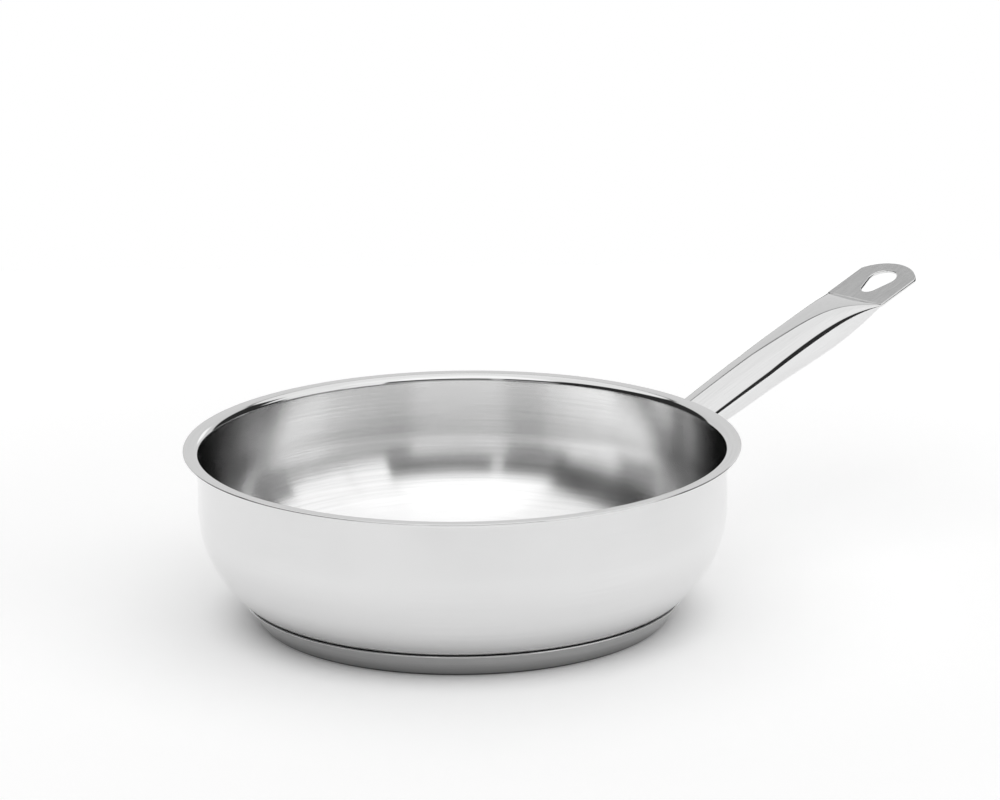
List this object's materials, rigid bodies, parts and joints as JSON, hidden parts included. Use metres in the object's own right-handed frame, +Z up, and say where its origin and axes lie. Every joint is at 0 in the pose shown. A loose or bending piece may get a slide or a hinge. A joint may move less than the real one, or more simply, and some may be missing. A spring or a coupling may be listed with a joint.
{
  "type": "saucier pan",
  "caption": "Round steel saucier pan with rounded sides, a flared pouring lip, a capsule base and a welded tube handle pressed into an eye.",
  "frame": {"origin": "centre of the underside of the base, on the bowl's axis", "axes": "+Z up along the bowl's axis, +X along the handle's run, +Y across the handle"},
  "size_m": [0.4283, 0.255, 0.1097],
  "materials": {
    "bowl_steel": "satin outside and fine circular brushing inside",
    "braze": "matt",
    "core_aluminium": "matt",
    "cap_steel": "satin, turned",
    "handle_steel": "polished tube and brushed eye plate",
    "saddle_steel": "satin",
    "weld_metal": "brushed smooth"
  },
  "bodies": {
    "root": {"pan_body": "bowl_steel", "upper_braze": "braze", "base_core": "core_aluminium", "lower_braze": "braze", "base_cap": "cap_steel", "handle_tube": "handle_steel", "handle_saddle": "saddle_steel", "handle_weld": "weld_metal"}
  },
  "joints": []
}
